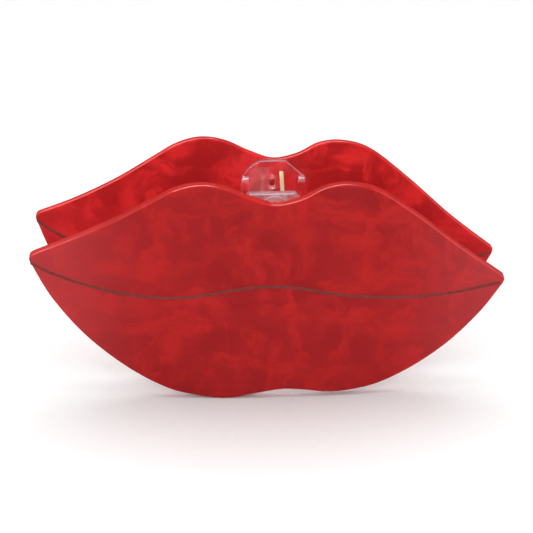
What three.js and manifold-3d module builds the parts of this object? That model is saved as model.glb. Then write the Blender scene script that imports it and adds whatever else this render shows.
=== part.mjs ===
// A hair claw clip: two lip-shaped acetate plates on a clear spring claw.
// Millimetres, +Z up, +X to the wearer's right along the lips, front plate towards -Y.
// Each half is modelled lying flat, as it is cut: x along the lips, y up the plate and
// z out of its outer face, with z = 0 on the plate's inner face. Two groups then stand
// the halves up, leaning apart at the top.
import * as THREE from 'three';
import { mergeVertices } from 'three/addons/utils/BufferGeometryUtils.js';
import Module from 'manifold-3d';

const wasm = await Module();
wasm.setup();

const DEGREE = Math.PI / 180;

// Plates
const PLATE_THICKNESS = 2.4;
const PLATE_EDGE_RADIUS = 0.6;
const PLATE_CURL_DROP = 2.05; // the plate curls back by this much
const PLATE_CURL_REACH = 43.5; // at this distance from its middle, then flattens
const PLATE_LEAN = 7.1 * DEGREE;
const PLATE_HALF_GAP = 5.2; // inner face to the middle plane, at y = 0
const REAR_PLATE_TURN = -1.3 * DEGREE; // the rear plate is glued on slightly askew
const REAR_PLATE_RISE = 0.7; // and slightly high
const REAR_TURN_HEIGHT = 30;
const PLATE_STATIONS = 55; // odd, so that one facet lies across the middle

// The lips' outline: each edge from tip to tip, and the sharp corner at each tip
const UPPER_EDGE = [
  [-51.5, 37], [-43, 40.4], [-34, 44.8], [-26, 49.6], [-20.5, 52.8], [-15, 54.2],
  [-9.5, 53.4], [-4, 51], [1.5, 49.3], [7, 50.5], [12, 53.1], [17.5, 53.7],
  [24, 51.8], [33, 45], [42.5, 36.8], [52, 29.6],
];
const LOWER_EDGE = [
  [52.3, 27], [48, 19.7], [41.5, 11.8], [34, 5.6], [26, 1.2], [19, -0.5],
  [13.5, -0.7], [8.5, 0.1], [3, 0.5], [-3.5, -0.7], [-9.5, -1.8], [-15.5, -1.2],
  [-23, 0.8], [-32, 6.4], [-41, 15], [-48, 25.2], [-52.3, 35],
];
const RIGHT_CORNER = [53.4, 28.8];
const LEFT_CORNER = [-52.8, 36.4];
const TIP_TRIM = 0.05; // the loft ends this far short of each tip

// The line between the lips, an enamelled groove in both faces of each plate
const MOUTH_LINE = [
  [-53, 35.6], [-48, 32.2], [-41, 29], [-33, 26.7], [-25, 25.7], [-17, 26],
  [-10, 27.4], [-4, 28.5], [1.5, 28.7], [7, 28.1], [14, 26.4], [22, 25],
  [31, 24.4], [41, 25], [51.8, 27.7],
];
const MOUTH_LINE_WIDTH = 0.85;
const MOUTH_LINE_DEPTH = 0.4;
const MOUTH_LINE_STEPS = 48;
const ENAMEL_CLEARANCE = 0.05;

// Clear claw halves
const CLAW_X = 1.9; // middle of the claw, under the dip in the upper lip
const GLUE_GAP = 0.8; // plate to claw
const WALL = 2; // thickness of the thumb pads and jaws
const PAD_HALF_WIDTH = 7.5;
const PAD_TOP = 50.3;
const PAD_BOTTOM = 36;
const PAD_BEVEL = 0.35;
const JAW_INSET = 0.7; // the jaws stand this much further from the plates than the pads
const JAW_HALF_WIDTH = 22;
const JAW_SHOULDER = 27;
const JAW_BOTTOM = 14;
const TOOTH_PITCH = 7;
const TOOTH_WIDTH = 2.6;
const TOOTH_BEVEL = 0.25;
const TOOTH_REACH = 9.2; // from the plate inwards
const TOOTH_LOW = 5;
const TOOTH_TIP_HEIGHT = 1.2;
const WINDOW_WIDTH = 3.2;
const WINDOW_BOTTOM = 15.5;
const WINDOW_TOP = 21.5;
const EAR_THICKNESS = 1.7;
const EAR_RADIUS = 3;
const FRONT_EAR_INSIDE = 3.5;
const REAR_EAR_INSIDE = 5.5;
const GRIP_OVALS = [[3.9, 4.4], [3, 3.5], [2.1, 2.6]]; // half widths and half heights
const GRIP_OVAL_Y = 45.4;
const GRIP_WIDTH = 0.5;
const GRIP_HEIGHT = 0.3;
const DIMPLE = { x: 1.6, y: 45.1, radius: 1.25, tall: 1.2, outside: 0.25 };

// Hinge
const HINGE_Z = 30; // above the plates' y = 0
const PIN_RADIUS = 1;
const PIN_HEAD_RADIUS = 1.7;
const PIN_HEAD_LENGTH = 0.6;
const PIN_END_PLAY = 0.1;
const FRONT_BORE_RADIUS = 1.03;
const REAR_BORE_RADIUS = 1.08;
const ROUND_SEGMENTS = 32;

// Torsion spring
const WIRE_RADIUS = 0.45;
const WIRE_SIDES = 8;
const COIL_RADIUS = 2;
const COIL_HALF_LENGTH = 2.75;
const COIL_WHOLE_TURNS = 5;
const COIL_STEPS_PER_TURN = 18;
const LEG_STEPS = 3;
const FRONT_LEG_TOP_Z = 44.5;
const REAR_LEG_TOP_Z = 48;
const LEG_LEAN = 1; // each leg's tip is this much nearer the claw's middle
const LEG_CLEARANCE = 0.1;

// Glue between each thumb pad and its plate
const GLUE_HALF_WIDTH = 6;
const GLUE_BOTTOM = 39.5;
const GLUE_TOP = 48.4;
const GLUE_THICKNESS = 0.45;
const GLUE_CLEARANCE = 0.06;
const GLUE_CORNER = 2.5;

// The hinge axis in a half's own coordinates: its height, and its distance inwards
const HINGE_Y = HINGE_Z * Math.cos(PLATE_LEAN) - PLATE_HALF_GAP * Math.sin(PLATE_LEAN);
const HINGE_INWARDS = HINGE_Z * Math.sin(PLATE_LEAN) + PLATE_HALF_GAP * Math.cos(PLATE_LEAN);
const PAD_OUTER_Z = -GLUE_GAP;
const PAD_INNER_Z = -GLUE_GAP - WALL;
const JAW_OUTER = GLUE_GAP + JAW_INSET; // depths inwards from the plate
const JAW_INNER = JAW_OUTER + WALL;

const ACETATE = { color: 0xb01c20, roughness: 0.12, metalness: 0 };
const ENAMEL = { color: 0x4a2220, roughness: 0.45, metalness: 0 };
const CLEAR_PLASTIC = { color: 0xe6dfe0, roughness: 0.08, metalness: 0 };
const GLUE = { color: 0xe9b9bd, roughness: 0.3, metalness: 0 };
const GOLD_WIRE = { color: 0xe8d694, roughness: 0.25, metalness: 1 };
const STEEL = { color: 0xc9c9cc, roughness: 0.3, metalness: 1 };

const vectors = (points) => points.map(([x, y]) => new THREE.Vector2(x, y));

function solid(geometry) {
  const bare = geometry.index ? geometry.toNonIndexed() : geometry.clone();
  bare.deleteAttribute('normal');
  bare.deleteAttribute('uv');
  const merged = mergeVertices(bare, 1e-4);
  return new wasm.Manifold(new wasm.Mesh({
    numProp: 3,
    vertProperties: new Float32Array(merged.attributes.position.array),
    triVerts: new Uint32Array(merged.index.array),
  }));
}

function geometryOf(manifold) {
  const mesh = manifold.getMesh();
  const geometry = new THREE.BufferGeometry();
  geometry.setAttribute('position', new THREE.BufferAttribute(mesh.vertProperties, 3));
  geometry.setIndex(new THREE.BufferAttribute(mesh.triVerts, 1));
  return geometry;
}

function joined(parts) {
  return parts.reduce((whole, part) => whole.add(part));
}

// The same shape with its depth reversed, for the half that faces the other way
function reversedDepth(geometry) {
  const turned = geometry.clone().scale(1, 1, -1);
  const index = turned.index.array;
  for (let i = 0; i < index.length; i += 3) {
    [index[i], index[i + 1]] = [index[i + 1], index[i]];
  }
  return turned;
}

// A profile of (distance inwards, height), pushed along x from one x to another
function alongX(shape, from, to, bevel = 0) {
  const geometry = new THREE.ExtrudeGeometry(shape, {
    depth: to - from - 2 * bevel,
    bevelEnabled: bevel > 0,
    bevelSize: bevel,
    bevelOffset: -bevel,
    bevelThickness: bevel,
    bevelSegments: 1,
    curveSegments: 8,
  });
  return geometry.rotateY(Math.PI / 2).translate(from + bevel, 0, 0);
}

// An outline of (x, y) given a thickness between two depths
function slab(shape, from, to, bevel = 0) {
  const geometry = new THREE.ExtrudeGeometry(shape, {
    depth: to - from - 2 * bevel,
    bevelEnabled: bevel > 0,
    bevelSize: bevel,
    bevelOffset: -bevel,
    bevelThickness: bevel,
    bevelSegments: 2,
    curveSegments: 10,
  });
  return geometry.translate(0, 0, from + bevel);
}

function rodAlongX(radius, from, to, y, z) {
  const geometry = new THREE.CylinderGeometry(radius, radius, to - from, ROUND_SEGMENTS);
  return geometry.rotateZ(Math.PI / 2).translate((from + to) / 2, y, z);
}

function lipOutline() {
  const outline = new THREE.Path();
  outline.moveTo(...UPPER_EDGE[0]);
  outline.splineThru(vectors(UPPER_EDGE.slice(1)));
  outline.quadraticCurveTo(...RIGHT_CORNER, ...LOWER_EDGE[0]);
  outline.splineThru(vectors(LOWER_EDGE.slice(1)));
  outline.quadraticCurveTo(...LEFT_CORNER, ...UPPER_EDGE[0]);
  return outline.getPoints(16);
}

// The outline's lowest and highest point at one x
function lipHeights(outline, x) {
  const heights = [];
  outline.forEach((point, i) => {
    const next = outline[(i + 1) % outline.length];
    if (point.x !== next.x && (point.x - x) * (next.x - x) <= 0) {
      heights.push(point.y + (next.y - point.y) * (x - point.x) / (next.x - point.x));
    }
  });
  return [Math.min(...heights), Math.max(...heights)];
}

// Curls a flat shape back towards the ends, as the plates are
function bowed(geometry) {
  const position = geometry.attributes.position;
  for (let i = 0; i < position.count; i += 1) {
    const out = (position.getX(i) / PLATE_CURL_REACH) ** 2;
    position.setZ(i, position.getZ(i) - PLATE_CURL_DROP * (2 * out - out ** 2));
  }
  return geometry;
}

// The plate is a rounded bar, lofted from tip to tip and stretched to the lips' height
function plateBlank() {
  const outline = lipOutline();
  const left = Math.min(...outline.map((point) => point.x)) + TIP_TRIM;
  const right = Math.max(...outline.map((point) => point.x)) - TIP_TRIM;
  const radius = PLATE_EDGE_RADIUS;
  const top = radius + 1;
  const section = new THREE.Shape();
  section.moveTo(0, 1);
  section.absarc(-radius, 1, radius, 0, Math.PI / 2);
  section.absarc(radius - PLATE_THICKNESS, 1, radius, Math.PI / 2, Math.PI);
  section.absarc(radius - PLATE_THICKNESS, -1, radius, Math.PI, Math.PI * 1.5);
  section.absarc(-radius, -1, radius, Math.PI * 1.5, Math.PI * 2);
  const bar = new THREE.ExtrudeGeometry(section, {
    depth: 1,
    steps: PLATE_STATIONS,
    bevelEnabled: false,
    curveSegments: 3,
  });
  bar.rotateY(Math.PI / 2);
  const position = bar.attributes.position;
  for (let i = 0; i < position.count; i += 1) {
    const x = left + (right - left) * (1 - Math.cos(Math.PI * position.getX(i))) / 2;
    const [low, high] = lipHeights(outline, x);
    const squeeze = Math.min(1, 0.49 * (high - low) / radius);
    const inset = squeeze * (top - Math.abs(position.getY(i)));
    position.setX(i, x);
    position.setY(i, position.getY(i) > 0 ? high - inset : low + inset);
  }
  return solid(bowed(bar));
}

// A flat strip that follows the mouth line, between two depths
function mouthRibbon(width, from, to) {
  const line = new THREE.SplineCurve(vectors(MOUTH_LINE));
  const half = width / 2;
  const section = new THREE.Shape(vectors([[-to, -half], [-from, -half], [-from, half], [-to, half]]));
  const strip = new THREE.ExtrudeGeometry(section, {
    depth: 1,
    steps: MOUTH_LINE_STEPS,
    bevelEnabled: false,
  });
  strip.rotateY(Math.PI / 2);
  const position = strip.attributes.position;
  for (let i = 0; i < position.count; i += 1) {
    const along = THREE.MathUtils.clamp(position.getX(i), 0, 1);
    const point = line.getPointAt(along);
    const tangent = line.getTangentAt(along);
    const aside = position.getY(i);
    position.setX(i, point.x - tangent.y * aside);
    position.setY(i, point.y + tangent.x * aside);
  }
  return solid(bowed(strip));
}

// One plate and the enamel in its two grooves
function plateParts() {
  const blank = plateBlank();
  const wide = MOUTH_LINE_WIDTH + 2 * ENAMEL_CLEARANCE;
  const outerFloor = PLATE_THICKNESS - MOUTH_LINE_DEPTH;
  const outerCut = mouthRibbon(wide, outerFloor, PLATE_THICKNESS + 1);
  const innerCut = mouthRibbon(wide, -1, MOUTH_LINE_DEPTH);
  const outerFill = mouthRibbon(
    MOUTH_LINE_WIDTH, outerFloor + ENAMEL_CLEARANCE, PLATE_THICKNESS - ENAMEL_CLEARANCE);
  const innerFill = mouthRibbon(
    MOUTH_LINE_WIDTH, ENAMEL_CLEARANCE, MOUTH_LINE_DEPTH - ENAMEL_CLEARANCE);
  return {
    plate: geometryOf(blank.subtract(outerCut).subtract(innerCut)),
    outerLine: geometryOf(blank.intersect(outerFill)),
    innerLine: geometryOf(blank.intersect(innerFill)),
  };
}

// Thumb pad: a straight chamfer at its right and a rounder corner at its left
function thumbPad({ flatLeft, flatRight, leftDrop, rightDrop, leftCurve }) {
  const left = CLAW_X - PAD_HALF_WIDTH;
  const right = CLAW_X + PAD_HALF_WIDTH;
  const outline = new THREE.Shape();
  outline.moveTo(left, PAD_BOTTOM);
  outline.lineTo(right, PAD_BOTTOM);
  outline.lineTo(right, PAD_TOP - rightDrop);
  outline.lineTo(flatRight, PAD_TOP);
  outline.lineTo(flatLeft, PAD_TOP);
  outline.quadraticCurveTo(left + leftCurve[0], PAD_TOP - leftCurve[1], left, PAD_TOP - leftDrop);
  return solid(slab(outline, PAD_INNER_Z, PAD_OUTER_Z, PAD_BEVEL));
}

// Jaw panel: spreads from the pad's width to the full comb
function jawPanel() {
  const outline = new THREE.Shape();
  const pad = PAD_HALF_WIDTH;
  const jaw = JAW_HALF_WIDTH;
  const joint = PAD_BOTTOM + 2;
  outline.moveTo(CLAW_X - jaw, JAW_BOTTOM);
  outline.lineTo(CLAW_X + jaw, JAW_BOTTOM);
  outline.lineTo(CLAW_X + jaw, JAW_SHOULDER);
  outline.bezierCurveTo(CLAW_X + jaw, joint - 3, CLAW_X + pad, joint - 5, CLAW_X + pad, joint);
  outline.lineTo(CLAW_X - pad, joint);
  outline.bezierCurveTo(CLAW_X - pad, joint - 5, CLAW_X - jaw, joint - 3,
    CLAW_X - jaw, JAW_SHOULDER);
  return solid(slab(outline, -JAW_INNER, -JAW_OUTER, TOOTH_BEVEL));
}

// A rib down the pad that runs into the ear round the hinge pin
function earAndRib(x) {
  const inner = GLUE_GAP + WALL;
  const upperTangent = 43 * DEGREE;
  const lowerTangent = -53 * DEGREE;
  const profile = new THREE.Shape();
  profile.moveTo(inner - 1, 24);
  profile.lineTo(inner - 1, 46.8);
  profile.lineTo(inner + 0.6, 46.6);
  profile.quadraticCurveTo(inner + 1.8, 46.2, inner + 1.9, 45);
  profile.lineTo(inner + 2.4, 38);
  profile.lineTo(
    HINGE_INWARDS + EAR_RADIUS * Math.cos(upperTangent),
    HINGE_Y + EAR_RADIUS * Math.sin(upperTangent));
  profile.absarc(HINGE_INWARDS, HINGE_Y, EAR_RADIUS, upperTangent, lowerTangent, true);
  return solid(alongX(profile, x, x + EAR_THICKNESS));
}

// A tooth hangs from the jaw and curls inwards past the middle plane
function tooth(x) {
  const top = JAW_BOTTOM + 1;
  const bend = JAW_BOTTOM - 1;
  const tip = TOOTH_LOW + TOOTH_TIP_HEIGHT;
  const flat = TOOTH_REACH - TOOTH_TIP_HEIGHT / 2;
  const profile = new THREE.Shape();
  profile.moveTo(JAW_OUTER, top);
  profile.lineTo(JAW_OUTER, bend);
  profile.bezierCurveTo(JAW_OUTER, 8.6, 5, TOOTH_LOW, flat, TOOTH_LOW);
  profile.quadraticCurveTo(TOOTH_REACH, TOOTH_LOW, TOOTH_REACH, (TOOTH_LOW + tip) / 2);
  profile.quadraticCurveTo(TOOTH_REACH, tip, flat, tip);
  profile.bezierCurveTo(6, tip + 0.2, JAW_INNER, 9.4, JAW_INNER, bend);
  profile.lineTo(JAW_INNER, top);
  return solid(alongX(profile, x - TOOTH_WIDTH / 2, x + TOOTH_WIDTH / 2, TOOTH_BEVEL));
}

function jawWindow(x) {
  const half = WINDOW_WIDTH / 2;
  const outline = new THREE.Shape();
  outline.moveTo(x - half, WINDOW_BOTTOM);
  outline.lineTo(x + half, WINDOW_BOTTOM);
  outline.lineTo(x + half, WINDOW_TOP);
  outline.absarc(x, WINDOW_TOP, half, 0, Math.PI);
  return solid(slab(outline, -JAW_INNER - 1, -JAW_OUTER + 1));
}

function gripOval([halfWidth, halfHeight], clearance = 0) {
  const wide = GRIP_WIDTH / 2 + clearance;
  const ring = new THREE.Shape();
  ring.absellipse(CLAW_X - 0.5, GRIP_OVAL_Y, halfWidth + wide, halfHeight + wide, 0, 2 * Math.PI);
  const middle = new THREE.Path();
  middle.absellipse(CLAW_X - 0.5, GRIP_OVAL_Y, halfWidth - wide, halfHeight - wide,
    0, 2 * Math.PI);
  ring.holes.push(middle);
  return solid(slab(ring, PAD_OUTER_Z - 0.2, PAD_OUTER_Z + GRIP_HEIGHT + clearance));
}

// One clear moulding: thumb pad, grip ovals, ribs and ears, jaw and its comb of teeth
function clawHalf({ pad, ovals, earInside, boreRadius, teeth, dimpled }) {
  const comb = (count) => Array.from({ length: count },
    (_, i) => CLAW_X + (i - (count - 1) / 2) * TOOTH_PITCH);
  const body = joined([
    thumbPad(pad),
    jawPanel(),
    earAndRib(CLAW_X - earInside - EAR_THICKNESS),
    earAndRib(CLAW_X + earInside),
    ...comb(teeth).map(tooth),
    ...ovals.map((oval) => gripOval(oval)),
  ]);
  const bore = solid(rodAlongX(
    boreRadius, CLAW_X - PAD_HALF_WIDTH - 2, CLAW_X + PAD_HALF_WIDTH + 2,
    HINGE_Y, -HINGE_INWARDS));
  const cuts = [bore, ...comb(teeth - 1).map(jawWindow)];
  if (dimpled) {
    const ball = new THREE.SphereGeometry(DIMPLE.radius, 24, 16).scale(1, DIMPLE.tall, 1);
    cuts.push(solid(ball.translate(DIMPLE.x, DIMPLE.y, PAD_INNER_Z - DIMPLE.outside)));
  }
  return geometryOf(cuts.reduce((whole, cut) => whole.subtract(cut), body));
}

function gluePad(ovals) {
  const left = CLAW_X - GLUE_HALF_WIDTH;
  const right = CLAW_X + GLUE_HALF_WIDTH;
  const round = GLUE_CORNER;
  const outline = new THREE.Shape();
  outline.moveTo(left + round, GLUE_BOTTOM);
  outline.absarc(right - round, GLUE_BOTTOM + round, round, -Math.PI / 2, 0);
  outline.absarc(right - round, GLUE_TOP - round, round, 0, Math.PI / 2);
  outline.absarc(left + round, GLUE_TOP - round, round, Math.PI / 2, Math.PI);
  outline.absarc(left + round, GLUE_BOTTOM + round, round, Math.PI, Math.PI * 1.5);
  const low = PAD_OUTER_Z + GLUE_CLEARANCE;
  const pad = solid(slab(outline, low, low + GLUE_THICKNESS));
  const grooves = ovals.map((oval) => gripOval(oval, GLUE_CLEARANCE));
  return geometryOf(grooves.reduce((whole, groove) => whole.subtract(groove), pad));
}

// A headed rivet pin through both pairs of ears
function hingePin() {
  const shoulder = REAR_EAR_INSIDE + EAR_THICKNESS + PIN_END_PLAY;
  const end = shoulder + PIN_HEAD_LENGTH;
  const profile = vectors([
    [0, -end], [PIN_HEAD_RADIUS * 0.75, -end], [PIN_HEAD_RADIUS, -shoulder - 0.25],
    [PIN_HEAD_RADIUS, -shoulder], [PIN_RADIUS, -shoulder], [PIN_RADIUS, shoulder],
    [PIN_HEAD_RADIUS, shoulder], [PIN_HEAD_RADIUS, shoulder + 0.25],
    [PIN_HEAD_RADIUS * 0.75, end], [0, end],
  ]);
  return new THREE.LatheGeometry(profile, ROUND_SEGMENTS).rotateZ(Math.PI / 2);
}

// A leg runs straight from the coil to where it presses on its thumb pad, seen along the pin
function springLeg(topZ) {
  const padFaceY = PLATE_HALF_GAP + topZ * Math.tan(PLATE_LEAN)
    + PAD_INNER_Z / Math.cos(PLATE_LEAN);
  const tip = new THREE.Vector2(padFaceY - WIRE_RADIUS - LEG_CLEARANCE, topZ - HINGE_Z);
  const angle = tip.angle() - Math.acos(COIL_RADIUS / tip.length());
  const foot = new THREE.Vector2(Math.cos(angle), Math.sin(angle)).multiplyScalar(COIL_RADIUS);
  return { foot, tip, angle };
}

// The spring's centre line about the hinge axis: a leg, the coil and the other leg
class SpringLine extends THREE.Curve {
  constructor() {
    super();
    this.front = springLeg(FRONT_LEG_TOP_Z);
    this.rear = springLeg(REAR_LEG_TOP_Z);
    this.turn = 2 * Math.PI * COIL_WHOLE_TURNS + Math.PI + this.front.angle + this.rear.angle;
    this.coilSteps = Math.round(COIL_STEPS_PER_TURN * this.turn / (2 * Math.PI));
    this.steps = this.coilSteps + 2 * LEG_STEPS;
  }

  onLeg(side, fraction) {
    const { foot, tip } = side > 0 ? this.rear : this.front;
    const point = foot.clone().lerp(tip, fraction);
    return new THREE.Vector3(
      side * (COIL_HALF_LENGTH - LEG_LEAN * fraction), side * point.x, point.y);
  }

  onCoil(fraction) {
    const angle = this.rear.angle - this.turn * (1 - fraction);
    return new THREE.Vector3(
      COIL_HALF_LENGTH * (2 * fraction - 1),
      COIL_RADIUS * Math.cos(angle),
      COIL_RADIUS * Math.sin(angle));
  }

  // Few steps on the straight legs, many round the coil
  getPointAt(t) {
    const step = t * this.steps;
    if (step <= LEG_STEPS) return this.onLeg(-1, 1 - step / LEG_STEPS);
    const past = step - LEG_STEPS - this.coilSteps;
    return past >= 0 ? this.onLeg(1, past / LEG_STEPS) : this.onCoil(1 + past / this.coilSteps);
  }

  getPoint(t) {
    return this.getPointAt(t);
  }

  getTangentAt(t) {
    return this.getTangent(t);
  }

  getSpacedPoints(divisions) {
    return this.getPoints(divisions);
  }
}

function torsionSpring() {
  const wire = new THREE.Shape();
  for (let i = 0; i < WIRE_SIDES; i += 1) {
    const angle = 2 * Math.PI * (i / WIRE_SIDES);
    const corner = [WIRE_RADIUS * Math.cos(angle), WIRE_RADIUS * Math.sin(angle)];
    if (i === 0) wire.moveTo(...corner);
    else wire.lineTo(...corner);
  }
  const line = new SpringLine();
  return new THREE.ExtrudeGeometry(wire, { extrudePath: line, steps: line.steps });
}

function named(name, geometry, finish) {
  const mesh = new THREE.Mesh(geometry, new THREE.MeshStandardMaterial(finish));
  mesh.name = name;
  return mesh;
}

const clip = new THREE.Group();
const hinge = new THREE.Group();
hinge.position.set(CLAW_X, 0, HINGE_Z);
hinge.add(named('hinge_pin', hingePin(), STEEL));
hinge.add(named('torsion_spring', torsionSpring(), GOLD_WIRE));
clip.add(hinge);

const lips = plateParts();

const front = new THREE.Group();
front.position.set(0, -PLATE_HALF_GAP, 0);
front.rotation.x = Math.PI / 2 + PLATE_LEAN;
front.add(named('front_plate', lips.plate, ACETATE));
front.add(named('front_plate_outer_line', lips.outerLine, ENAMEL));
front.add(named('front_plate_inner_line', lips.innerLine, ENAMEL));
front.add(named('front_claw', clawHalf({
  pad: { flatLeft: -3.6, flatRight: 5.8, leftDrop: 2.4, rightDrop: 4.3, leftCurve: [0.2, 0.2] },
  ovals: GRIP_OVALS,
  earInside: FRONT_EAR_INSIDE,
  boreRadius: FRONT_BORE_RADIUS,
  teeth: 6,
  dimpled: false,
}), CLEAR_PLASTIC));
front.add(named('front_glue', gluePad(GRIP_OVALS), GLUE));
clip.add(front);

const rear = new THREE.Group();
rear.position.set(0, PLATE_HALF_GAP, 0);
rear.rotation.x = Math.PI / 2 - PLATE_LEAN;
const rearPlate = new THREE.Group();
rearPlate.rotation.z = REAR_PLATE_TURN;
rearPlate.position.set(
  REAR_TURN_HEIGHT * Math.sin(REAR_PLATE_TURN),
  REAR_TURN_HEIGHT * (1 - Math.cos(REAR_PLATE_TURN)) + REAR_PLATE_RISE, 0);
rearPlate.add(named('rear_plate', reversedDepth(lips.plate), ACETATE));
rearPlate.add(named('rear_plate_outer_line', reversedDepth(lips.outerLine), ENAMEL));
rearPlate.add(named('rear_plate_inner_line', reversedDepth(lips.innerLine), ENAMEL));
rear.add(rearPlate);
rear.add(named('rear_claw', reversedDepth(clawHalf({
  pad: { flatLeft: -0.8, flatRight: 4.6, leftDrop: 5, rightDrop: 4.2, leftCurve: [0.8, 1.6] },
  ovals: [],
  earInside: REAR_EAR_INSIDE,
  boreRadius: REAR_BORE_RADIUS,
  teeth: 7,
  dimpled: true,
})), CLEAR_PLASTIC));
rear.add(named('rear_glue', reversedDepth(gluePad([])), GLUE));
clip.add(rear);

// The lowest of the four bulges under the lips stands at z = 0, and the width is centred
clip.updateMatrixWorld(true);
const box = new THREE.Box3().setFromObject(clip, true);
clip.position.set(-(box.min.x + box.max.x) / 2, -(box.min.y + box.max.y) / 2, -box.min.z);

export default clip;
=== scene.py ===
import math

import bmesh
import bpy
import numpy as np
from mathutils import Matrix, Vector


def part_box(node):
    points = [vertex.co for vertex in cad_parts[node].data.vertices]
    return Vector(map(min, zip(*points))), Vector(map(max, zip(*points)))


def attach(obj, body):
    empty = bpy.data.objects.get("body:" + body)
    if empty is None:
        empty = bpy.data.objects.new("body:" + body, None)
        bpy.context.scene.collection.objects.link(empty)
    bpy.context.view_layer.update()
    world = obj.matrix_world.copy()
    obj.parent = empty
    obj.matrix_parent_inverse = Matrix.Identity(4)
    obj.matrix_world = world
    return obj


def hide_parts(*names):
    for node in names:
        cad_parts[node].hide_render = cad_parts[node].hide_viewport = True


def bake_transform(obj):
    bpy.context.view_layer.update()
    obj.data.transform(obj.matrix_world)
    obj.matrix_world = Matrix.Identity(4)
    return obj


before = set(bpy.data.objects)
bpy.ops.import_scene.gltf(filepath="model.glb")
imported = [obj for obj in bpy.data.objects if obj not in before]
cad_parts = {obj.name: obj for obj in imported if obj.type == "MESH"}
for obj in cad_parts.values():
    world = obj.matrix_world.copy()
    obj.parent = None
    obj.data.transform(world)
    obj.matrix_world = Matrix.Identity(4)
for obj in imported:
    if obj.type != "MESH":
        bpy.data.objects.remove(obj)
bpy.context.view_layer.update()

MM = 0.001

# Sizes shared with the CAD model
PLATE_THICKNESS = 2.4
PLATE_EDGE_RADIUS = 0.6
PLATE_CURL_DROP = 2.05
PLATE_CURL_REACH = 43.5
PLATE_LEAN = math.radians(7.1)
PLATE_HALF_GAP = 5.2
REAR_PLATE_TURN = math.radians(-1.3)
REAR_PLATE_RISE = 0.7
REAR_TURN_HEIGHT = 30.0
UPPER_EDGE = [
    (-51.5, 37), (-43, 40.4), (-34, 44.8), (-26, 49.6), (-20.5, 52.8), (-15, 54.2),
    (-9.5, 53.4), (-4, 51), (1.5, 49.3), (7, 50.5), (12, 53.1), (17.5, 53.7),
    (24, 51.8), (33, 45), (42.5, 36.8), (52, 29.6),
]
LOWER_EDGE = [
    (52.3, 27), (48, 19.7), (41.5, 11.8), (34, 5.6), (26, 1.2), (19, -0.5),
    (13.5, -0.7), (8.5, 0.1), (3, 0.5), (-3.5, -0.7), (-9.5, -1.8), (-15.5, -1.2),
    (-23, 0.8), (-32, 6.4), (-41, 15), (-48, 25.2), (-52.3, 35),
]
RIGHT_CORNER = (53.4, 28.8)
LEFT_CORNER = (-52.8, 36.4)
MOUTH_LINE = [
    (-53, 35.6), (-48, 32.2), (-41, 29), (-33, 26.7), (-25, 25.7), (-17, 26),
    (-10, 27.4), (-4, 28.5), (1.5, 28.7), (7, 28.1), (14, 26.4), (22, 25),
    (31, 24.4), (41, 25), (51.8, 27.7),
]
MOUTH_LINE_WIDTH = 0.85
CLAW_X = 1.9
HINGE_Z = 30.0
WIRE_RADIUS = 0.45
COIL_RADIUS = 2.0
COIL_HALF_LENGTH = 2.75
COIL_WHOLE_TURNS = 5
FRONT_LEG_TOP_Z = 44.5
REAR_LEG_TOP_Z = 48.0
LEG_LEAN = 1.0
LEG_CLEARANCE = 0.1
GLUE_GAP = 0.8
WALL = 2.0
PAD_TOP = 50.3
GRIP_OVALS = [(3.9, 4.4), (3.0, 3.5), (2.1, 2.6)]
GRIP_OVAL_X = CLAW_X - 0.5
GRIP_OVAL_Z = 45.2

# The larger pearl drifts in each plate, and the air bubble in the glue: x, z in the part's
# frame, then half width and half height
FRONT_DRIFTS = [
    (-7, 38, 4.5, 1.3), (-11.5, 23, 3.6, 3.6), (19.5, 39, 6.5, 3.6), (30.5, 33, 5.5, 1.9),
    (19.5, 20.5, 2, 2.8), (29.5, 15, 5.5, 3.2), (7.5, 41, 5, 4), (-34.5, 33, 6.5, 2.6),
    (-1, 26, 2.2, 2), (-22, 12, 3, 5),
]
REAR_DRIFTS = [(-19.5, 52, 4.5, 2.6), (21, 50.5, 5, 3), (-31, 42, 3, 6), (-6, 47.5, 3.5, 2.2),
               (34, 42, 4, 3)]
GLUE_BUBBLE = (1.7, 44.5, 1.2, 1.5)

# Painted sheen: the acetate is painted paler towards the tips, between these distances from the
# middle
TIP_SHEEN_FROM = 24
TIP_SHEEN_TO = 54

FRONT = -1
REAR = 1
BODY = {FRONT: "front_half", REAR: "rear_half"}
NAME = {FRONT: "front", REAR: "rear"}

low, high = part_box("hinge_pin")
HINGE = (low + high) / 2 / MM
ORIGIN = np.array([HINGE.x - CLAW_X, HINGE.y, HINGE.z - HINGE_Z])


# ---------------------------------------------------------------- shapes

def spline(points, per_span=24):
    """A smooth curve through the points, as a list of points."""
    p = np.array(points, float)
    padded = np.vstack([p[0], p, p[-1]])
    made = []
    for i in range(len(p) - 1):
        a, b, c, d = padded[i:i + 4]
        for t in np.arange(per_span) / per_span:
            out_of_b = (c - a) / 2
            into_c = (d - b) / 2
            made.append(
                b + out_of_b * t
                + (3 * (c - b) - 2 * out_of_b - into_c) * t ** 2
                + (2 * (b - c) + out_of_b + into_c) * t ** 3
            )
    return made + [p[-1]]


def corner(start, control, end, steps=24):
    """The points of a rounded corner between start and end, without them."""
    start, control, end = (np.array(q, float) for q in (start, control, end))
    return [
        (1 - t) ** 2 * start + 2 * t * (1 - t) * control + t ** 2 * end
        for t in np.arange(1, steps) / steps
    ]


def lip_outline():
    return np.array(
        spline(UPPER_EDGE)
        + corner(UPPER_EDGE[-1], RIGHT_CORNER, LOWER_EDGE[0])
        + spline(LOWER_EDGE)
        + corner(LOWER_EDGE[-1], LEFT_CORNER, UPPER_EDGE[0])
    )


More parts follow.
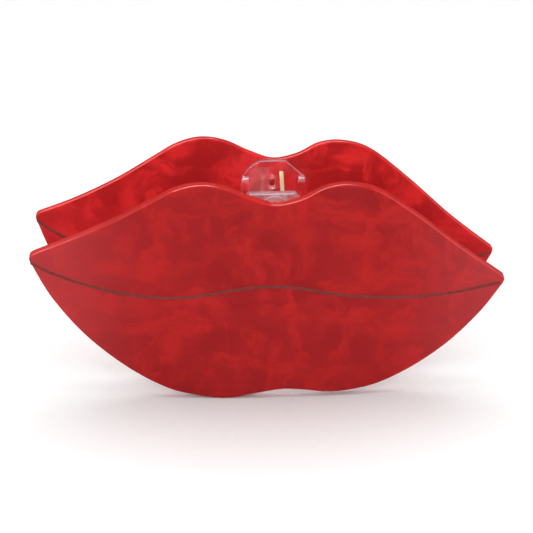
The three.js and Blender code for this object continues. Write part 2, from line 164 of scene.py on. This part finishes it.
def lip_chains(stations):
    """The outline as upper and lower heights at x stations that crowd towards the tips."""
    outline = lip_outline()
    following = np.roll(outline, -1, axis=0)
    left, right = outline[:, 0].min(), outline[:, 0].max()
    xs = left + (right - left) * (1 - np.cos(np.linspace(0, math.pi, stations))) / 2
    upper, lower = [], []
    for x in xs[1:-1]:
        crosses = (outline[:, 0] - x) * (following[:, 0] - x) <= 0
        a, b = outline[crosses], following[crosses]
        run = np.where(a[:, 0] == b[:, 0], 1, b[:, 0] - a[:, 0])
        heights = a[:, 1] + (b[:, 1] - a[:, 1]) * (x - a[:, 0]) / run
        upper.append((x, heights.max()))
        lower.append((x, heights.min()))
    tips = [outline[outline[:, 0].argmin()], outline[outline[:, 0].argmax()]]
    return tips, np.array(upper), np.array(lower)


def curl(x):
    """How far a plate curls back at a distance from its middle."""
    out = (x / PLATE_CURL_REACH) ** 2
    return PLATE_CURL_DROP * (2 * out - out ** 2)


def stand(points, side, turned=False):
    """Places a half's own coordinates in the part's frame, in metres."""
    p = np.array(points, float).reshape(-1, 3)
    x, y, z = p.T
    if turned and side == REAR:
        c, s = math.cos(REAR_PLATE_TURN), math.sin(REAR_PLATE_TURN)
        x, y = (c * x - s * (y - REAR_TURN_HEIGHT),
                s * x + c * (y - REAR_TURN_HEIGHT) + REAR_TURN_HEIGHT + REAR_PLATE_RISE)
    c, s = math.cos(PLATE_LEAN), math.sin(PLATE_LEAN)
    placed = np.column_stack([x, side * (PLATE_HALF_GAP + y * s + z * c), y * c - z * s])
    return (placed + ORIGIN) * MM


def make(name, points, faces, body, material, smooth=True):
    """A closed mesh with outward faces, on its body and in its material slot."""
    mesh = bpy.data.meshes.new(name)
    mesh.from_pydata([tuple(p) for p in points], [], faces)
    bm = bmesh.new()
    bm.from_mesh(mesh)
    bmesh.ops.remove_doubles(bm, verts=bm.verts, dist=1e-7)
    bmesh.ops.recalc_face_normals(bm, faces=bm.faces)
    bm.to_mesh(mesh)
    bm.free()
    mesh.polygons.foreach_set("use_smooth", [smooth] * len(mesh.polygons))
    mesh.materials.append(material)
    piece = bpy.data.objects.new(name, mesh)
    bpy.context.scene.collection.objects.link(piece)
    if body:
        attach(piece, body)
    return piece


def plate(side, material):
    """A lip plate: rounded all round its edge, bowed along its length."""
    stations = 260
    rows = 14
    round_steps = 6
    flat_border = 0.15
    tips, upper, lower = lip_chains(stations)
    loop = np.vstack([tips[0], upper, tips[1], lower[::-1]])
    ahead, behind = np.roll(loop, -1, axis=0), np.roll(loop, 1, axis=0)
    tangent = ahead - behind
    tangent /= np.linalg.norm(tangent, axis=1)[:, None]
    inward = np.column_stack([tangent[:, 1], -tangent[:, 0]])
    r = PLATE_EDGE_RADIUS
    turns = [math.pi / 2 * i / round_steps for i in range(round_steps + 1)]
    back = [(r * (1 - math.cos(a)), r - r * math.sin(a)) for a in reversed(turns)]
    front = [(r * (1 - math.cos(a)), PLATE_THICKNESS - r + r * math.sin(a)) for a in turns]
    rings = ([(r + flat_border, 0)] + back + front
             + [(r + flat_border, PLATE_THICKNESS)])
    n = len(loop)
    points, faces = [], []
    for inset, depth in rings:
        flat = loop + inward * inset
        points += [(x, y, depth) for x, y in flat]
    for k in range(len(rings) - 1):
        for i in range(n):
            j = (i + 1) % n
            faces.append((k * n + i, k * n + j, (k + 1) * n + j, (k + 1) * n + i))
    # Each face is filled by columns between the upper and lower edges
    for base in (0, (len(rings) - 1) * n):
        columns = []
        for i in range(stations):
            top = base + i
            bottom = base + (n - i) % n
            if top == bottom:
                columns.append([top] * (rows + 1))
                continue
            column = [top]
            a, b = np.array(points[top]), np.array(points[bottom])
            for j in range(1, rows):
                column.append(len(points))
                points.append(tuple(a + (b - a) * j / rows))
            columns.append(column + [bottom])
        for one, two in zip(columns, columns[1:]):
            for j in range(rows):
                quad = [one[j], one[j + 1], two[j + 1], two[j]]
                face = [v for i, v in enumerate(quad) if v not in quad[:i]]
                if len(face) > 2:
                    faces.append(tuple(face))
    p = np.array(points)
    p[:, 2] -= curl(p[:, 0])
    name = NAME[side] + "_lip_plate"
    piece = make(name, stand(p, side, turned=True), faces, BODY[side], material)
    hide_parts(NAME[side] + "_plate")
    return piece


def mouth_line(side, face, material):
    """The line between the lips, inlaid flush in one face of a plate."""
    steps = 180
    proud = 0.015
    depth = 0.3
    line = np.array(spline(MOUTH_LINE))
    reach = np.concatenate([[0], np.cumsum(np.linalg.norm(np.diff(line, axis=0), axis=1))])
    at = np.linspace(0, reach[-1], steps)
    x, y = (np.interp(at, reach, line[:, i]) for i in (0, 1))
    dx, dy = np.gradient(x), np.gradient(y)
    size = np.hypot(dx, dy)
    # The line thins a little towards both ends
    thinning = 0.12 * np.abs(np.linspace(-1, 1, steps)) ** 3
    half = 0.44 * MOUTH_LINE_WIDTH * (1 - thinning)
    sides = [(x - dy / size * h, y + dx / size * h) for h in (half, -half)]
    top = PLATE_THICKNESS + proud if face == "outer" else -proud
    floor = PLATE_THICKNESS - depth if face == "outer" else depth
    first_x = lip_outline()[:, 0].min() + 0.25
    points = []
    for i in range(steps):
        for j, z in ((0, floor), (0, top), (1, top), (1, floor)):
            line_x, line_y = sides[j]
            at_x = max(line_x[i], first_x)
            points.append((at_x, line_y[i], z - curl(at_x)))
    faces = [
        (4 * i + k, 4 * i + (k + 1) % 4, 4 * i + 4 + (k + 1) % 4, 4 * i + 4 + k)
        for i in range(steps - 1) for k in range(4)
    ]
    faces += [(0, 1, 2, 3), tuple(4 * (steps - 1) + k for k in range(4))]
    name = f"{NAME[side]}_{face}_mouth_line"
    piece = make(name, stand(points, side, turned=True), faces, BODY[side],
                 material, smooth=False)
    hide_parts(f"{NAME[side]}_plate_{face}_line")
    return piece


def softened(node, name, body, material, voxel, rounds):
    """A moulded piece: the CAD solid with every edge rounded."""
    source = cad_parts[node]
    work = bpy.data.objects.new(name + "_work", source.data.copy())
    bpy.context.scene.collection.objects.link(work)
    remesh = work.modifiers.new("round", "REMESH")
    remesh.mode = "VOXEL"
    remesh.voxel_size = voxel * MM
    relax = work.modifiers.new("relax", "SMOOTH")
    relax.factor = 0.5
    relax.iterations = rounds
    graph = bpy.context.evaluated_depsgraph_get()
    mesh = bpy.data.meshes.new_from_object(work.evaluated_get(graph))
    bpy.data.objects.remove(work)
    mesh.name = name
    mesh.polygons.foreach_set("use_smooth", [True] * len(mesh.polygons))
    mesh.materials.clear()
    mesh.materials.append(material)
    piece = bpy.data.objects.new(name, mesh)
    bpy.context.scene.collection.objects.link(piece)
    piece.visible_shadow = False
    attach(piece, body)
    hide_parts(node)
    return piece


def swept(centres, radius, sides, cap_round=0.0):
    """A round wire along the centre line, with flat ends whose rims are rounded."""
    c = np.array(centres, float)
    tangent = np.gradient(c, axis=0)
    tangent /= np.linalg.norm(tangent, axis=1)[:, None]
    across = np.cross(tangent[0], (1.0, 0.0, 0.0))
    across /= np.linalg.norm(across)
    points = []
    sections = [(0, radius - cap_round, 0.0)] if cap_round else []
    sections += [(i, radius, cap_round if cap_round and i in (0, len(c) - 1) else 0.0)
                 for i in range(len(c))]
    if cap_round:
        sections.append((len(c) - 1, radius - cap_round, 0.0))
    for i, r, inset in sections:
        across = across - tangent[i] * (across @ tangent[i])
        across /= np.linalg.norm(across)
        other = np.cross(tangent[i], across)
        shift = tangent[i] * inset * (1 if i == 0 else -1)
        for k in range(sides):
            a = 2 * math.pi * k / sides
            points.append(c[i] + shift + r * (across * math.cos(a) + other * math.sin(a)))
    rings = len(sections)
    faces = [
        (k * sides + i, k * sides + (i + 1) % sides,
         (k + 1) * sides + (i + 1) % sides, (k + 1) * sides + i)
        for k in range(rings - 1) for i in range(sides)
    ]
    faces += [tuple(range(sides)), tuple((rings - 1) * sides + i for i in range(sides))]
    return points, faces


def spring_leg(top_z):
    """A leg seen along the pin: where it leaves the coil, its tip and its angle."""
    pad_y = (PLATE_HALF_GAP + top_z * math.tan(PLATE_LEAN)
             - (GLUE_GAP + WALL) / math.cos(PLATE_LEAN))
    tip = np.array((pad_y - WIRE_RADIUS - LEG_CLEARANCE, top_z - HINGE_Z))
    angle = math.atan2(tip[1], tip[0]) - math.acos(COIL_RADIUS / np.linalg.norm(tip))
    foot = COIL_RADIUS * np.array((math.cos(angle), math.sin(angle)))
    return foot, tip, angle


def spring_line():
    """The spring's centre line about the hinge axis: a leg, the coil and the other leg."""
    coil_steps_per_turn = 40
    leg_steps = 12
    legs = {FRONT: spring_leg(FRONT_LEG_TOP_Z), REAR: spring_leg(REAR_LEG_TOP_Z)}
    rear_angle = legs[REAR][2]
    turn = 2 * math.pi * COIL_WHOLE_TURNS + math.pi + legs[FRONT][2] + rear_angle

    def on_leg(side, f):
        foot, tip, _ = legs[side]
        y, z = foot + (tip - foot) * f
        return (side * (COIL_HALF_LENGTH - LEG_LEAN * f), side * y, z)

    line = [on_leg(FRONT, 1 - i / leg_steps) for i in range(leg_steps)]
    coil_steps = round(coil_steps_per_turn * turn / (2 * math.pi))
    for i in range(coil_steps + 1):
        f = i / coil_steps
        a = rear_angle - turn * (1 - f)
        line.append((COIL_HALF_LENGTH * (2 * f - 1),
                     COIL_RADIUS * math.cos(a), COIL_RADIUS * math.sin(a)))
    return line + [on_leg(REAR, (i + 1) / leg_steps) for i in range(leg_steps)]


def spring(material):
    """The wire: a leg, the coil and the other leg swept as one round wire, fixed in the part's
    frame.
    """
    points, faces = swept(spring_line(), WIRE_RADIUS, 20, cap_round=0.08)
    placed = (np.array(points) + np.array(HINGE)) * MM
    piece = make("spring_wire", placed, faces, None, material)
    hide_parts("torsion_spring")
    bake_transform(piece)
    return piece


def pin(material):
    """The hinge pin, a headed rivet turned on its own axis."""
    low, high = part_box("hinge_pin")
    end = (high.x - low.x) / 2 / MM
    head = (high.z - low.z) / 2 / MM
    shank = 1.0
    shoulder = end - 0.6
    half = [(0, end), (head * 0.45, end), (head * 0.72, end - 0.06), (head * 0.9, end - 0.18),
            (head, end - 0.36), (head, shoulder + 0.05), (head - 0.05, shoulder),
            (shank + 0.02, shoulder), (shank, shoulder - 0.03)]
    profile = half + [(r, -x) for r, x in reversed(half)]
    around = 48
    points, faces = [], []
    for r, x in profile:
        for k in range(around):
            a = 2 * math.pi * k / around
            points.append((x, r * math.cos(a), r * math.sin(a)))
    for k in range(len(profile) - 1):
        for i in range(around):
            j = (i + 1) % around
            faces.append((k * around + i, k * around + j,
                          (k + 1) * around + j, (k + 1) * around + i))
    placed = (np.array(points) + np.array(HINGE)) * MM
    piece = make("rivet_pin", placed, faces, "front_half", material)
    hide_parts("hinge_pin")
    return piece


# ---------------------------------------------------------------- materials

def linear(red, green, blue):
    """Scene-linear colour of an 8-bit screen colour."""
    def one(v):
        v /= 255
        return v / 12.92 if v <= 0.04045 else ((v + 0.055) / 1.055) ** 2.4
    return (one(red), one(green), one(blue), 1.0)


# Painted light: a lighter red for the plates' rounded edges, standing in for light the sheet
# carries to them
EDGE_LIGHT_RED = linear(208, 60, 52)


def material(name):
    made = bpy.data.materials.new(name)
    made.use_nodes = True
    tree = made.node_tree
    return made, tree.nodes, tree.links, tree.nodes["Principled BSDF"]


def noise(nodes, links, vector, scale, detail=2.0, roughness=0.5, distortion=0.0):
    node = nodes.new("ShaderNodeTexNoise")
    node.inputs["Scale"].default_value = scale
    node.inputs["Detail"].default_value = detail
    node.inputs["Roughness"].default_value = roughness
    node.inputs["Distortion"].default_value = distortion
    links.new(vector, node.inputs["Vector"])
    return node


def ramp(nodes, links, value, stops):
    node = nodes.new("ShaderNodeValToRGB")
    elements = node.color_ramp.elements
    while len(elements) < len(stops):
        elements.new(0.5)
    for element, (position, colour) in zip(elements, stops):
        element.position = position
        element.color = colour
    links.new(value, node.inputs["Fac"])
    return node.outputs["Color"]


def grey(value):
    return (value, value, value, 1.0)


def mix(nodes, links, factor, a, b, blend="MIX"):
    node = nodes.new("ShaderNodeMix")
    node.data_type = "RGBA"
    node.blend_type = blend
    for socket, value in ((node.inputs[0], factor), (node.inputs[6], a), (node.inputs[7], b)):
        if isinstance(value, (int, float, tuple)):
            socket.default_value = value
        else:
            links.new(value, socket)
    return node.outputs[2]


def bump(nodes, links, shader, height, distance, strength=1.0):
    node = nodes.new("ShaderNodeBump")
    node.inputs["Strength"].default_value = strength
    node.inputs["Distance"].default_value = distance
    links.new(height, node.inputs["Height"])
    links.new(node.outputs["Normal"], shader.inputs["Normal"])


def object_millimetres(nodes, links, offset=(0, 0, 0), stretch=(1, 1, 1)):
    where = nodes.new("ShaderNodeTexCoord")
    scaled = nodes.new("ShaderNodeMapping")
    scaled.inputs["Location"].default_value = offset
    scaled.inputs["Scale"].default_value = tuple(1 / MM * s for s in stretch)
    links.new(where.outputs["Object"], scaled.inputs["Vector"])
    return scaled.outputs["Vector"]


def vector_math(nodes, links, operation, a, b=None):
    node = nodes.new("ShaderNodeVectorMath")
    node.operation = operation
    links.new(a, node.inputs[0])
    if b is not None:
        node.inputs[1].default_value = b
    return node.outputs["Value" if operation == "LENGTH" else "Vector"]


def along(nodes, links, vector, axis, absolute=False):
    """One coordinate of a vector, or its size without its sign."""
    split = nodes.new("ShaderNodeSeparateXYZ")
    links.new(vector, split.inputs[0])
    if not absolute:
        return split.outputs[axis]
    size = nodes.new("ShaderNodeMath")
    size.operation = "ABSOLUTE"
    links.new(split.outputs[axis], size.inputs[0])
    return size.outputs[0]


def own_normal(nodes):
    """The surface's direction in the piece's own frame, which turns with the piece."""
    return nodes.new("ShaderNodeTexCoord").outputs["Normal"]


def fade(nodes, links, value, start, end, low=0.0, high=1.0, shape="SMOOTHSTEP"):
    """Goes from low to high as the value goes from start to end."""
    node = nodes.new("ShaderNodeMapRange")
    node.interpolation_type = shape
    node.inputs["From Min"].default_value = start
    node.inputs["From Max"].default_value = end
    node.inputs["To Min"].default_value = low
    node.inputs["To Max"].default_value = high
    links.new(value, node.inputs["Value"])
    return node.outputs[0]


def displaced(nodes, links, place, scale, amount):
    """Coordinates pushed about by noise, so that what is drawn in them looks torn."""
    push = noise(nodes, links, place, scale, 3.0, 0.6)
    moved = nodes.new("ShaderNodeVectorMath")
    moved.operation = "MULTIPLY_ADD"
    moved.inputs[1].default_value = (amount, amount, amount)
    links.new(push.outputs["Color"], moved.inputs[0])
    links.new(place, moved.inputs[2])
    return moved.outputs[0]


def torn_patches(nodes, links, place, scale, stretch, edge):
    """Brushed patches of random strength, from 0 to 1, each with a soft torn border."""
    shaped = nodes.new("ShaderNodeMapping")
    shaped.inputs["Scale"].default_value = stretch
    bent = displaced(nodes, links, place, 0.08, 9)
    links.new(displaced(nodes, links, bent, 0.6, 0.9), shaped.inputs["Vector"])
    cells = nodes.new("ShaderNodeTexVoronoi")
    cells.feature = "SMOOTH_F1"
    cells.distance = "CHEBYCHEV"
    cells.inputs["Scale"].default_value = scale
    cells.inputs["Smoothness"].default_value = edge
    links.new(shaped.outputs["Vector"], cells.inputs["Vector"])
    strength = nodes.new("ShaderNodeSeparateColor")
    links.new(cells.outputs["Color"], strength.inputs[0])
    patch = ramp(nodes, links, strength.outputs["Red"],
                 [(0.35, grey(0)), (0.6, grey(0.35)), (0.9, grey(1))])
    strokes = noise(nodes, links, shaped.outputs["Vector"], 0.45, 3.0, 0.55)
    stroke = ramp(nodes, links, strokes.outputs["Fac"], [(0.36, grey(0.15)), (0.6, grey(1))])
    return mix(nodes, links, 0.9, patch, stroke, "MULTIPLY")


def oval_reach(nodes, links, place, x, z, wide, tall):
    """Distance out from the middle of an upright oval, which is 0.5 on its rim."""
    middle = (x + ORIGIN[0], 0, z + ORIGIN[2])
    local = vector_math(nodes, links, "SUBTRACT", place, middle)
    sized = vector_math(nodes, links, "MULTIPLY", local, (0.5 / wide, 0, 0.5 / tall))
    return vector_math(nodes, links, "LENGTH", sized)


def pearl_drifts(nodes, links, place, drifts):
    """Larger drifts of pearl: soft ovals of (x, z, half width, half height)."""
    total = None
    for drift in drifts:
        reach = oval_reach(nodes, links, place, *drift)
        spot = ramp(nodes, links, reach, [(0.175, grey(1)), (0.5, grey(0))])
        total = spot if total is None else mix(nodes, links, 1.0, total, spot, "LIGHTEN")
    return total


def around_edge(nodes, links):
    """One on a plate's rounded edge and nought on its two faces."""
    flat = along(nodes, links, own_normal(nodes), "Y", absolute=True)
    return ramp(nodes, links, flat, [(0.7, grey(1)), (0.93, grey(0))])


def acetate(name, offset, drifts, deep, middle, bright, tip_sheen):
    """Red acetate with drifts of pearl in torn, brushed patches, with a painted sheen that makes
    it paler towards the tips and painted light on its rounded edges.
    """
    made, nodes, links, shader = material(name)
    place = object_millimetres(nodes, links, offset)
    clouds = noise(nodes, links, place, 0.035, 2.0)
    cloud = ramp(nodes, links, clouds.outputs["Fac"], [(0.38, grey(0)), (0.62, grey(1))])
    across = torn_patches(nodes, links, place, 0.17, (0.55, 1, 1.4), 0.4)
    upright = torn_patches(nodes, links, place, 0.24, (1.4, 1, 0.65), 0.4)
    patches = mix(nodes, links, 0.9, across, upright, "SCREEN")
    push = 3
    torn = displaced(nodes, links, object_millimetres(nodes, links), 0.3, push)
    centred = vector_math(nodes, links, "SUBTRACT", torn, (push / 2, push / 2, push / 2))
    drift = pearl_drifts(nodes, links, centred, drifts)
    pearl = mix(nodes, links, 0.75, patches, drift, "SCREEN")
    base = mix(nodes, links, cloud, deep, middle)
    colour = mix(nodes, links, pearl, base, bright)

    # Painted sheen: the colour turns paler and pinker towards both tips
    outwards = along(nodes, links, object_millimetres(nodes, links), "X", absolute=True)
    tips = fade(nodes, links, outwards, TIP_SHEEN_FROM, TIP_SHEEN_TO, high=0.5)
    colour = mix(nodes, links, tips, colour, tip_sheen)
    edge = around_edge(nodes, links)
    # Painted highlight: the rounded edges are painted a lighter red
    lit = mix(nodes, links, 0.3, colour, EDGE_LIGHT_RED)
    links.new(mix(nodes, links, edge, colour, lit), shader.inputs["Base Color"])

    shader.inputs["Roughness"].default_value = 0.12
    shader.inputs["IOR"].default_value = 1.49
    shader.inputs["Specular IOR Level"].default_value = 0.4
    shader.inputs["Subsurface Weight"].default_value = 0.2
    shader.inputs["Subsurface Radius"].default_value = (0.004, 0.0005, 0.0005)
    shader.inputs["Subsurface Scale"].default_value = 1.0
    waves = noise(nodes, links, place, 0.05, 1.0)
    saw_marks = noise(nodes, links, place, 2.0, 1.0)
    marked = mix(nodes, links, 0.12, waves.outputs["Fac"], saw_marks.outputs["Fac"])
    relief = mix(nodes, links, edge, waves.outputs["Fac"], marked)
    bump(nodes, links, shader, relief, 0.0002, 0.5)
    return made


def enamel():
    made, nodes, links, shader = material("line_enamel")
    place = object_millimetres(nodes, links)
    wear = noise(nodes, links, place, 0.9, 3.0, 0.6)
    tone = ramp(nodes, links, wear.outputs["Fac"],
                [(0.3, linear(120, 48, 44)), (0.7, linear(138, 60, 56))])
    links.new(tone, shader.inputs["Base Color"])
    shader.inputs["Roughness"].default_value = 0.5
    shader.inputs["Specular IOR Level"].default_value = 0.2
    bump(nodes, links, shader, wear.outputs["Fac"], 0.00003)
    return made


def grip_rings(nodes, links, place):
    """One along the front pad's oval grip ridges."""
    soft = 0.025
    stops = []
    for ring in reversed(GRIP_OVALS):
        at = 0.5 * ring[0] / GRIP_OVALS[0][0]
        stops += [(at - soft, grey(0)), (at, grey(1)), (at + soft, grey(0))]
    reach = oval_reach(nodes, links, place, GRIP_OVAL_X, GRIP_OVAL_Z, *GRIP_OVALS[0])
    return ramp(nodes, links, reach, stops)


def clear_plastic():
    """Polycarbonate with flow lines, with painted highlights on its upward-facing surfaces and
    the front pad's grip ridges, and a lighter, rougher band across the front pad's top.
    """
    made, nodes, links, shader = material("clear_polycarbonate")
    place = object_millimetres(nodes, links, stretch=(0.4, 1, 1))
    flow = noise(nodes, links, place, 0.25, 2.0, 0.5, 0.8)
    where = object_millimetres(nodes, links)
    # Painted highlight: surfaces facing up are coloured light mauve, as if catching light from
    # above
    edges = ramp(nodes, links, along(nodes, links, own_normal(nodes), "Z"),
                 [(0.45, grey(0)), (0.9, grey(1))])
    top = PAD_TOP + ORIGIN[2]
    high_up = fade(nodes, links, along(nodes, links, where, "Z"), top - 6.5, top - 4.5)
    in_front = fade(nodes, links, along(nodes, links, where, "Y"), 2, -2, high=0.5,
                    shape="LINEAR")
    band = mix(nodes, links, 1.0, high_up, in_front, "MULTIPLY")
    highlight_and_band = mix(nodes, links, 1.0, edges, band, "LIGHTEN")
    rings = grip_rings(nodes, links, where)
    ridges = mix(nodes, links, 1.0, rings, in_front, "MULTIPLY")
    tint = ramp(nodes, links, flow.outputs["Fac"],
                [(0.3, (0.95, 0.9, 0.93, 1)), (0.7, (0.98, 0.96, 0.975, 1))])
    # Light mauve on upward-facing surfaces, a painted highlight, and on the band across the
    # front pad's top; near white on the grip ridges, a painted highlight
    colour = mix(nodes, links, highlight_and_band, tint, linear(214, 146, 160))
    colour = mix(nodes, links, ridges, colour, linear(255, 244, 250))
    links.new(colour, shader.inputs["Base Color"])
    highlight_and_band = mix(nodes, links, 1.0, highlight_and_band, ridges, "ADD")
    clearness = ramp(nodes, links, highlight_and_band, [(0, grey(1)), (1, grey(0.62))])
    links.new(clearness, shader.inputs["Transmission Weight"])
    roughness = ramp(nodes, links, highlight_and_band, [(0, grey(0.03)), (1, grey(0.22))])
    links.new(roughness, shader.inputs["Roughness"])
    shader.inputs["IOR"].default_value = 1.5
    bump(nodes, links, shader, flow.outputs["Fac"], 0.00008, 0.6)
    return made


def wire_gold():
    made, nodes, links, shader = material("pale_gold_plate")
    place = object_millimetres(nodes, links, stretch=(1, 0.1, 0.1))
    drawn = noise(nodes, links, place, 6.0, 3.0, 0.6)
    tone = ramp(nodes, links, drawn.outputs["Fac"],
                [(0.3, linear(246, 238, 184)), (0.7, linear(255, 252, 212))])
    links.new(tone, shader.inputs["Base Color"])
    shader.inputs["Metallic"].default_value = 0.45
    shader.inputs["Roughness"].default_value = 0.35
    bump(nodes, links, shader, drawn.outputs["Fac"], 0.00001)
    return made


def rivet_steel():
    made, nodes, links, shader = material("rivet_steel")
    place = object_millimetres(nodes, links)
    turned = noise(nodes, links, place, 3.0, 3.0, 0.6)
    tone = ramp(nodes, links, turned.outputs["Fac"], [(0.3, grey(0.5)), (0.7, grey(0.66))])
    links.new(tone, shader.inputs["Base Color"])
    shader.inputs["Metallic"].default_value = 1.0
    shader.inputs["Roughness"].default_value = 0.28
    bump(nodes, links, shader, turned.outputs["Fac"], 0.00001)
    return made


def glue():
    """Set adhesive: clear, with a milky drift on one side and a few bubbles; its air bubble is
    painted as a darker red spot, a painted shade, inside a lighter painted highlight ring.
    """
    made, nodes, links, shader = material("set_glue")
    place = object_millimetres(nodes, links)
    drifting = displaced(nodes, links, place, 0.4, 5)
    one_side = fade(nodes, links, along(nodes, links, drifting, "X"), CLAW_X + 2.6, CLAW_X + 0.4)
    milk = noise(nodes, links, place, 0.5, 3.0, 0.6)
    curdled = ramp(nodes, links, milk.outputs["Fac"], [(0.35, grey(0.45)), (0.6, grey(1))])
    drifted = mix(nodes, links, 1.0, one_side, curdled, "MULTIPLY")
    bubble = oval_reach(nodes, links, place, *GLUE_BUBBLE)
    inside = ramp(nodes, links, bubble, [(0.34, grey(0)), (0.46, grey(1))])
    # Painted highlight: a lighter, milky ring around the air bubble's edge
    rim_highlight = ramp(nodes, links, bubble,
               [(0.42, grey(0)), (0.5, grey(1)), (0.56, grey(1)), (0.64, grey(0))])
    haze_and_rim_highlight = mix(nodes, links, 1.0, drifted, inside, "MULTIPLY")
    haze_and_rim_highlight = mix(nodes, links, 1.0, haze_and_rim_highlight, rim_highlight, "LIGHTEN")
    roughness = ramp(nodes, links, haze_and_rim_highlight, [(0, grey(0.05)), (1, grey(0.45))])
    links.new(roughness, shader.inputs["Roughness"])
    cover = ramp(nodes, links, haze_and_rim_highlight, [(0, grey(0.1)), (1, grey(0.22))])
    links.new(mix(nodes, links, inside, grey(0.8), cover), shader.inputs["Alpha"])
    clearness = ramp(nodes, links, haze_and_rim_highlight, [(0, grey(1)), (1, grey(0.45))])
    links.new(clearness, shader.inputs["Transmission Weight"])
    tint = ramp(nodes, links, haze_and_rim_highlight, [(0, (1, 0.97, 0.98, 1)), (1, linear(190, 96, 104))])
    # Painted shade: the air bubble is painted a darker red, nearly opaque
    colour = mix(nodes, links, inside, linear(170, 40, 46), tint)
    links.new(colour, shader.inputs["Base Color"])
    shader.inputs["IOR"].default_value = 1.45
    bubbles = nodes.new("ShaderNodeTexVoronoi")
    bubbles.inputs["Scale"].default_value = 1.1
    links.new(place, bubbles.inputs["Vector"])
    dots = ramp(nodes, links, bubbles.outputs["Distance"], [(0.12, grey(1)), (0.2, grey(0))])
    bump(nodes, links, shader, dots, 0.00004)
    return made


def floor_paper():
    made, nodes, links, shader = material("white_paper")
    place = object_millimetres(nodes, links)
    fibre = noise(nodes, links, place, 0.6, 4.0, 0.6)
    tone = ramp(nodes, links, fibre.outputs["Fac"], [(0.3, grey(0.86)), (0.7, grey(0.88))])
    links.new(tone, shader.inputs["Base Color"])
    shader.inputs["Roughness"].default_value = 0.9
    shader.inputs["Specular IOR Level"].default_value = 0.1
    bump(nodes, links, shader, fibre.outputs["Fac"], 0.00005)
    return made


# ---------------------------------------------------------------- stage

def add_camera():
    azimuth, elevation = math.radians(-2.3), math.radians(25)
    distance = 403.0
    aim = Vector(ORIGIN) + Vector((0, 0, 28))
    back = Vector((math.sin(azimuth) * math.cos(elevation),
                   -math.cos(azimuth) * math.cos(elevation), math.sin(elevation)))
    data = bpy.data.cameras.new("camera")
    data.lens = 120
    data.sensor_width = 36
    data.clip_start = 0.01
    data.clip_end = 20
    camera = bpy.data.objects.new("camera", data)
    camera.location = (aim + back * distance) * MM
    camera.rotation_mode = "QUATERNION"
    camera.rotation_quaternion = (-back).to_track_quat("-Z", "Y")
    bpy.context.scene.collection.objects.link(camera)
    bpy.context.scene.camera = camera


def add_floor():
    mesh = bpy.data.meshes.new("floor")
    reach = 3.0
    mesh.from_pydata([(-reach, -reach, 0), (reach, -reach, 0), (reach, reach, 0),
                      (-reach, reach, 0)], [], [(0, 1, 2, 3)])
    mesh.materials.append(floor_paper())
    floor = bpy.data.objects.new("floor", mesh)
    floor.visible_glossy = False
    bpy.context.scene.collection.objects.link(floor)


def softbox(name, place, aim, size, power, in_gloss=True, in_diffuse=True):
    data = bpy.data.lights.new(name, "AREA")
    data.shape = "RECTANGLE"
    data.size, data.size_y = size
    data.energy = power
    light = bpy.data.objects.new(name, data)
    light.visible_glossy = in_gloss
    light.visible_diffuse = in_diffuse
    light.location = place
    light.rotation_mode = "QUATERNION"
    light.rotation_quaternion = (Vector(aim) - Vector(place)).to_track_quat("-Z", "Y")
    bpy.context.scene.collection.objects.link(light)


def add_sky():
    """Plain studio surroundings, brighter behind the clip than in front of it."""
    world = bpy.data.worlds.new("studio")
    world.use_nodes = True
    nodes, links = world.node_tree.nodes, world.node_tree.links
    direction = nodes.new("ShaderNodeTexCoord").outputs["Generated"]
    strength = fade(nodes, links, along(nodes, links, direction, "Y"), -0.8, 0.3, low=0.3,
                    high=0.8, shape="LINEAR")
    links.new(strength, nodes["Background"].inputs["Strength"])
    nodes["Background"].inputs["Color"].default_value = (1, 1, 1, 1)
    bpy.context.scene.world = world
    world.cycles_visibility.glossy = False


def add_lights():
    centre = (0, 0, 0.03)
    softbox("overhead", (0, 0.05, 0.75), centre, (0.9, 0.7), 3.4, in_gloss=False)
    softbox("rim_glint", (-0.2, 0.25, 0.75), centre, (1.1, 0.22), 9, in_diffuse=False)
    softbox("front_fill", (-0.1, -0.8, 0.55), centre, (0.7, 0.5), 2.5, in_gloss=False)
    softbox("left_panel", (-0.7, -0.15, 0.3), centre, (0.5, 0.5), 1.1)
    softbox("right_panel", (0.7, -0.15, 0.3), centre, (0.5, 0.5), 1.1)
    add_sky()


add_camera()
add_floor()
add_lights()
bpy.context.scene.view_settings.view_transform = "Standard"

red_front = acetate("red_acetate_front", (0, 0, 0), FRONT_DRIFTS, linear(159, 34, 36),
                    linear(166, 37, 39), linear(192, 41, 41), linear(200, 76, 80))
# Painted light: the rear plate's acetate is a lighter copy of the front's, making up for the
# shade on the rear plate's inner face
red_rear_brightened = acetate("red_acetate_rear_brightened", (40, 90, 15), REAR_DRIFTS, linear(182, 34, 36),
                   linear(188, 36, 38), linear(238, 52, 54), linear(192, 42, 46))
line_enamel = enamel()
clear = clear_plastic()
glue_clear = glue()
for side, red in ((FRONT, red_front), (REAR, red_rear_brightened)):
    plate(side, red)
    mouth_line(side, "outer", line_enamel)
    mouth_line(side, "inner", line_enamel)
    softened(NAME[side] + "_claw", NAME[side] + "_claw_moulding", BODY[side],
             clear, voxel=0.16, rounds=2)
    softened(NAME[side] + "_glue", NAME[side] + "_glue_film", BODY[side],
             glue_clear, voxel=0.15, rounds=3)
spring(wire_gold())
pin(rivet_steel())
